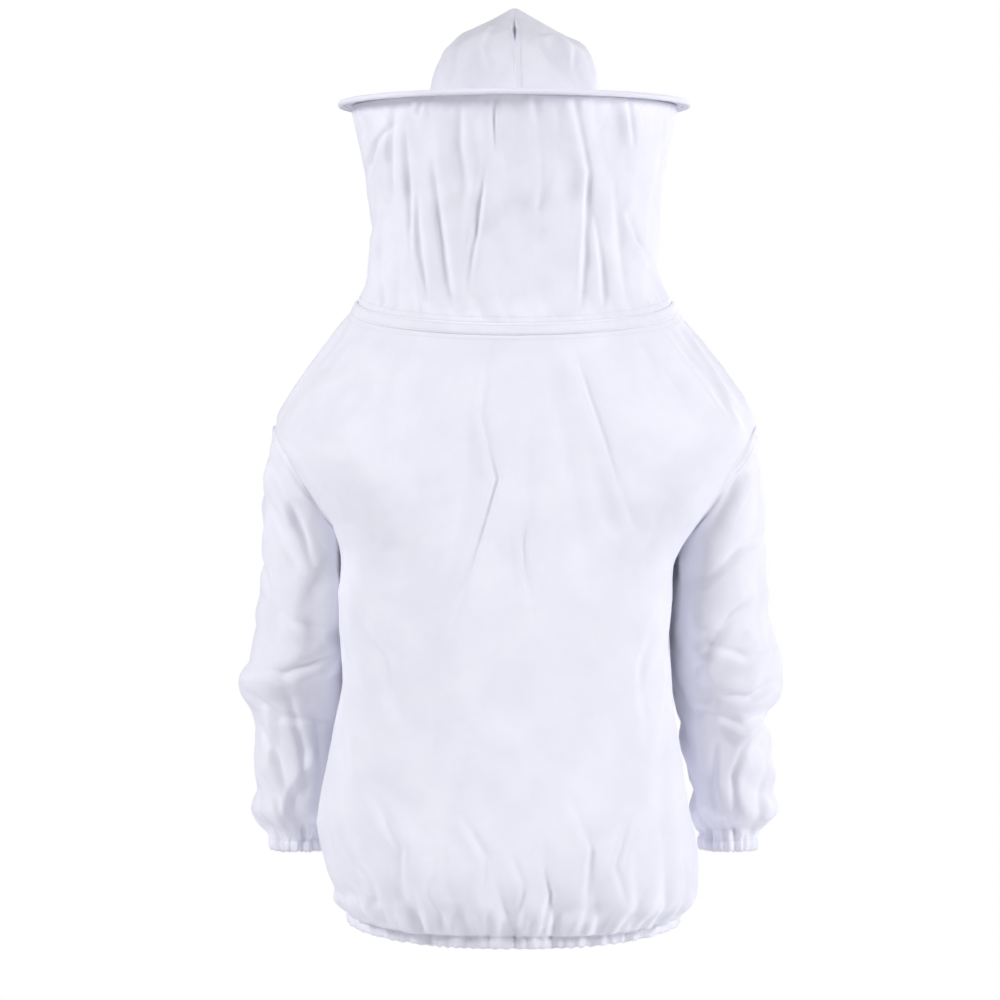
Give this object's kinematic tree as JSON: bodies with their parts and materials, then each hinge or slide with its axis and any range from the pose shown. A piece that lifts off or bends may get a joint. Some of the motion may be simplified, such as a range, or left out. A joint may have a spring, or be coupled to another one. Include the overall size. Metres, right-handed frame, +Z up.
{
  "type": "beekeeping suit",
  "caption": "Pull-over beekeeping smock with a wide-brimmed hat, a veil zipped to the neck, front pockets and elastic hem and cuffs.",
  "frame": {"origin": "middle of the neck opening, level with the shoulder seams that rest on the wearer's shoulders", "axes": "+Z up, -Y the way the wearer faces, +X the wearer's left"},
  "size_m": [0.615, 0.4066, 1.0634],
  "materials": {
    "poplin": "crisp plain-weave poly-cotton, matte",
    "crown_cloth": "thin unlined plain-weave poly-cotton, matte",
    "net": "knitted polyester net, matte black",
    "elastic": "braided elastic, matte",
    "zip_tape": "herringbone polyester tape, matte",
    "zip_teeth": "moulded acetal, satin",
    "zip_metal": "nickel-plated die casting, satin",
    "spring_steel": "drawn spring wire, bright"
  },
  "bodies": {
    "jacket": {"back_panel": "poplin", "front_panel": "poplin", "hem_casing": "poplin", "hem_elastic": "elastic", "neck_band": "poplin", "left_pocket": "poplin", "right_pocket": "poplin", "zip_tape_lower": "zip_tape", "zip_teeth_lower": "zip_teeth", "zip_stop_left": "zip_metal", "zip_stop_right": "zip_metal"},
    "hood": {"veil_back": "poplin", "veil_front_band": "poplin", "veil_net": "net", "zip_tape_upper": "zip_tape", "zip_teeth_upper": "zip_teeth", "brim_top": "poplin", "brim_underside": "poplin", "brim_hoop": "spring_steel", "brim_binding": "poplin", "crown_front_left": "crown_cloth", "crown_back_left": "crown_cloth", "crown_back_right": "crown_cloth", "crown_front_right": "crown_cloth", "sweatband": "poplin", "headband_elastic": "elastic"},
    "left_sleeve": {"left_upper_sleeve": "poplin", "left_lower_sleeve": "poplin", "left_cuff_casing": "poplin", "left_cuff_elastic": "elastic"},
    "right_sleeve": {"right_upper_sleeve": "poplin", "right_lower_sleeve": "poplin", "right_cuff_casing": "poplin", "right_cuff_elastic": "elastic"},
    "slider": {"zip_slider": "zip_metal"},
    "pull": {"zip_pull": "zip_metal"}
  },
  "joints": [
    {"name": "hood_tip", "type": "hinge", "parent": "jacket", "child": "hood", "pos_m": [0, 0.13, -0.018], "axis": [-1, 0, 0], "range_deg": [0, 90]},
    {"name": "left_sleeve_lift", "type": "hinge", "parent": "jacket", "child": "left_sleeve", "pos_m": [0.278, 0, -0.132], "axis": [0, -1, 0], "range_deg": [0, 70]},
    {"name": "right_sleeve_lift", "type": "hinge", "parent": "jacket", "child": "right_sleeve", "pos_m": [-0.278, 0, -0.132], "axis": [0, 1, 0], "range_deg": [0, 70]},
    {"name": "zip_slide", "type": "hinge", "parent": "jacket", "child": "slider", "pos_m": [0, 0.02717, 0.01105], "axis": [0, 0.3767, -0.9263], "range_deg": [0, 146]},
    {"name": "pull_swing", "type": "hinge", "parent": "slider", "child": "pull", "pos_m": [0.18436, -0.01859, -0.00756], "axis": [0, -0.3767, 0.9263], "range_deg": [0, 165]}
  ]
}
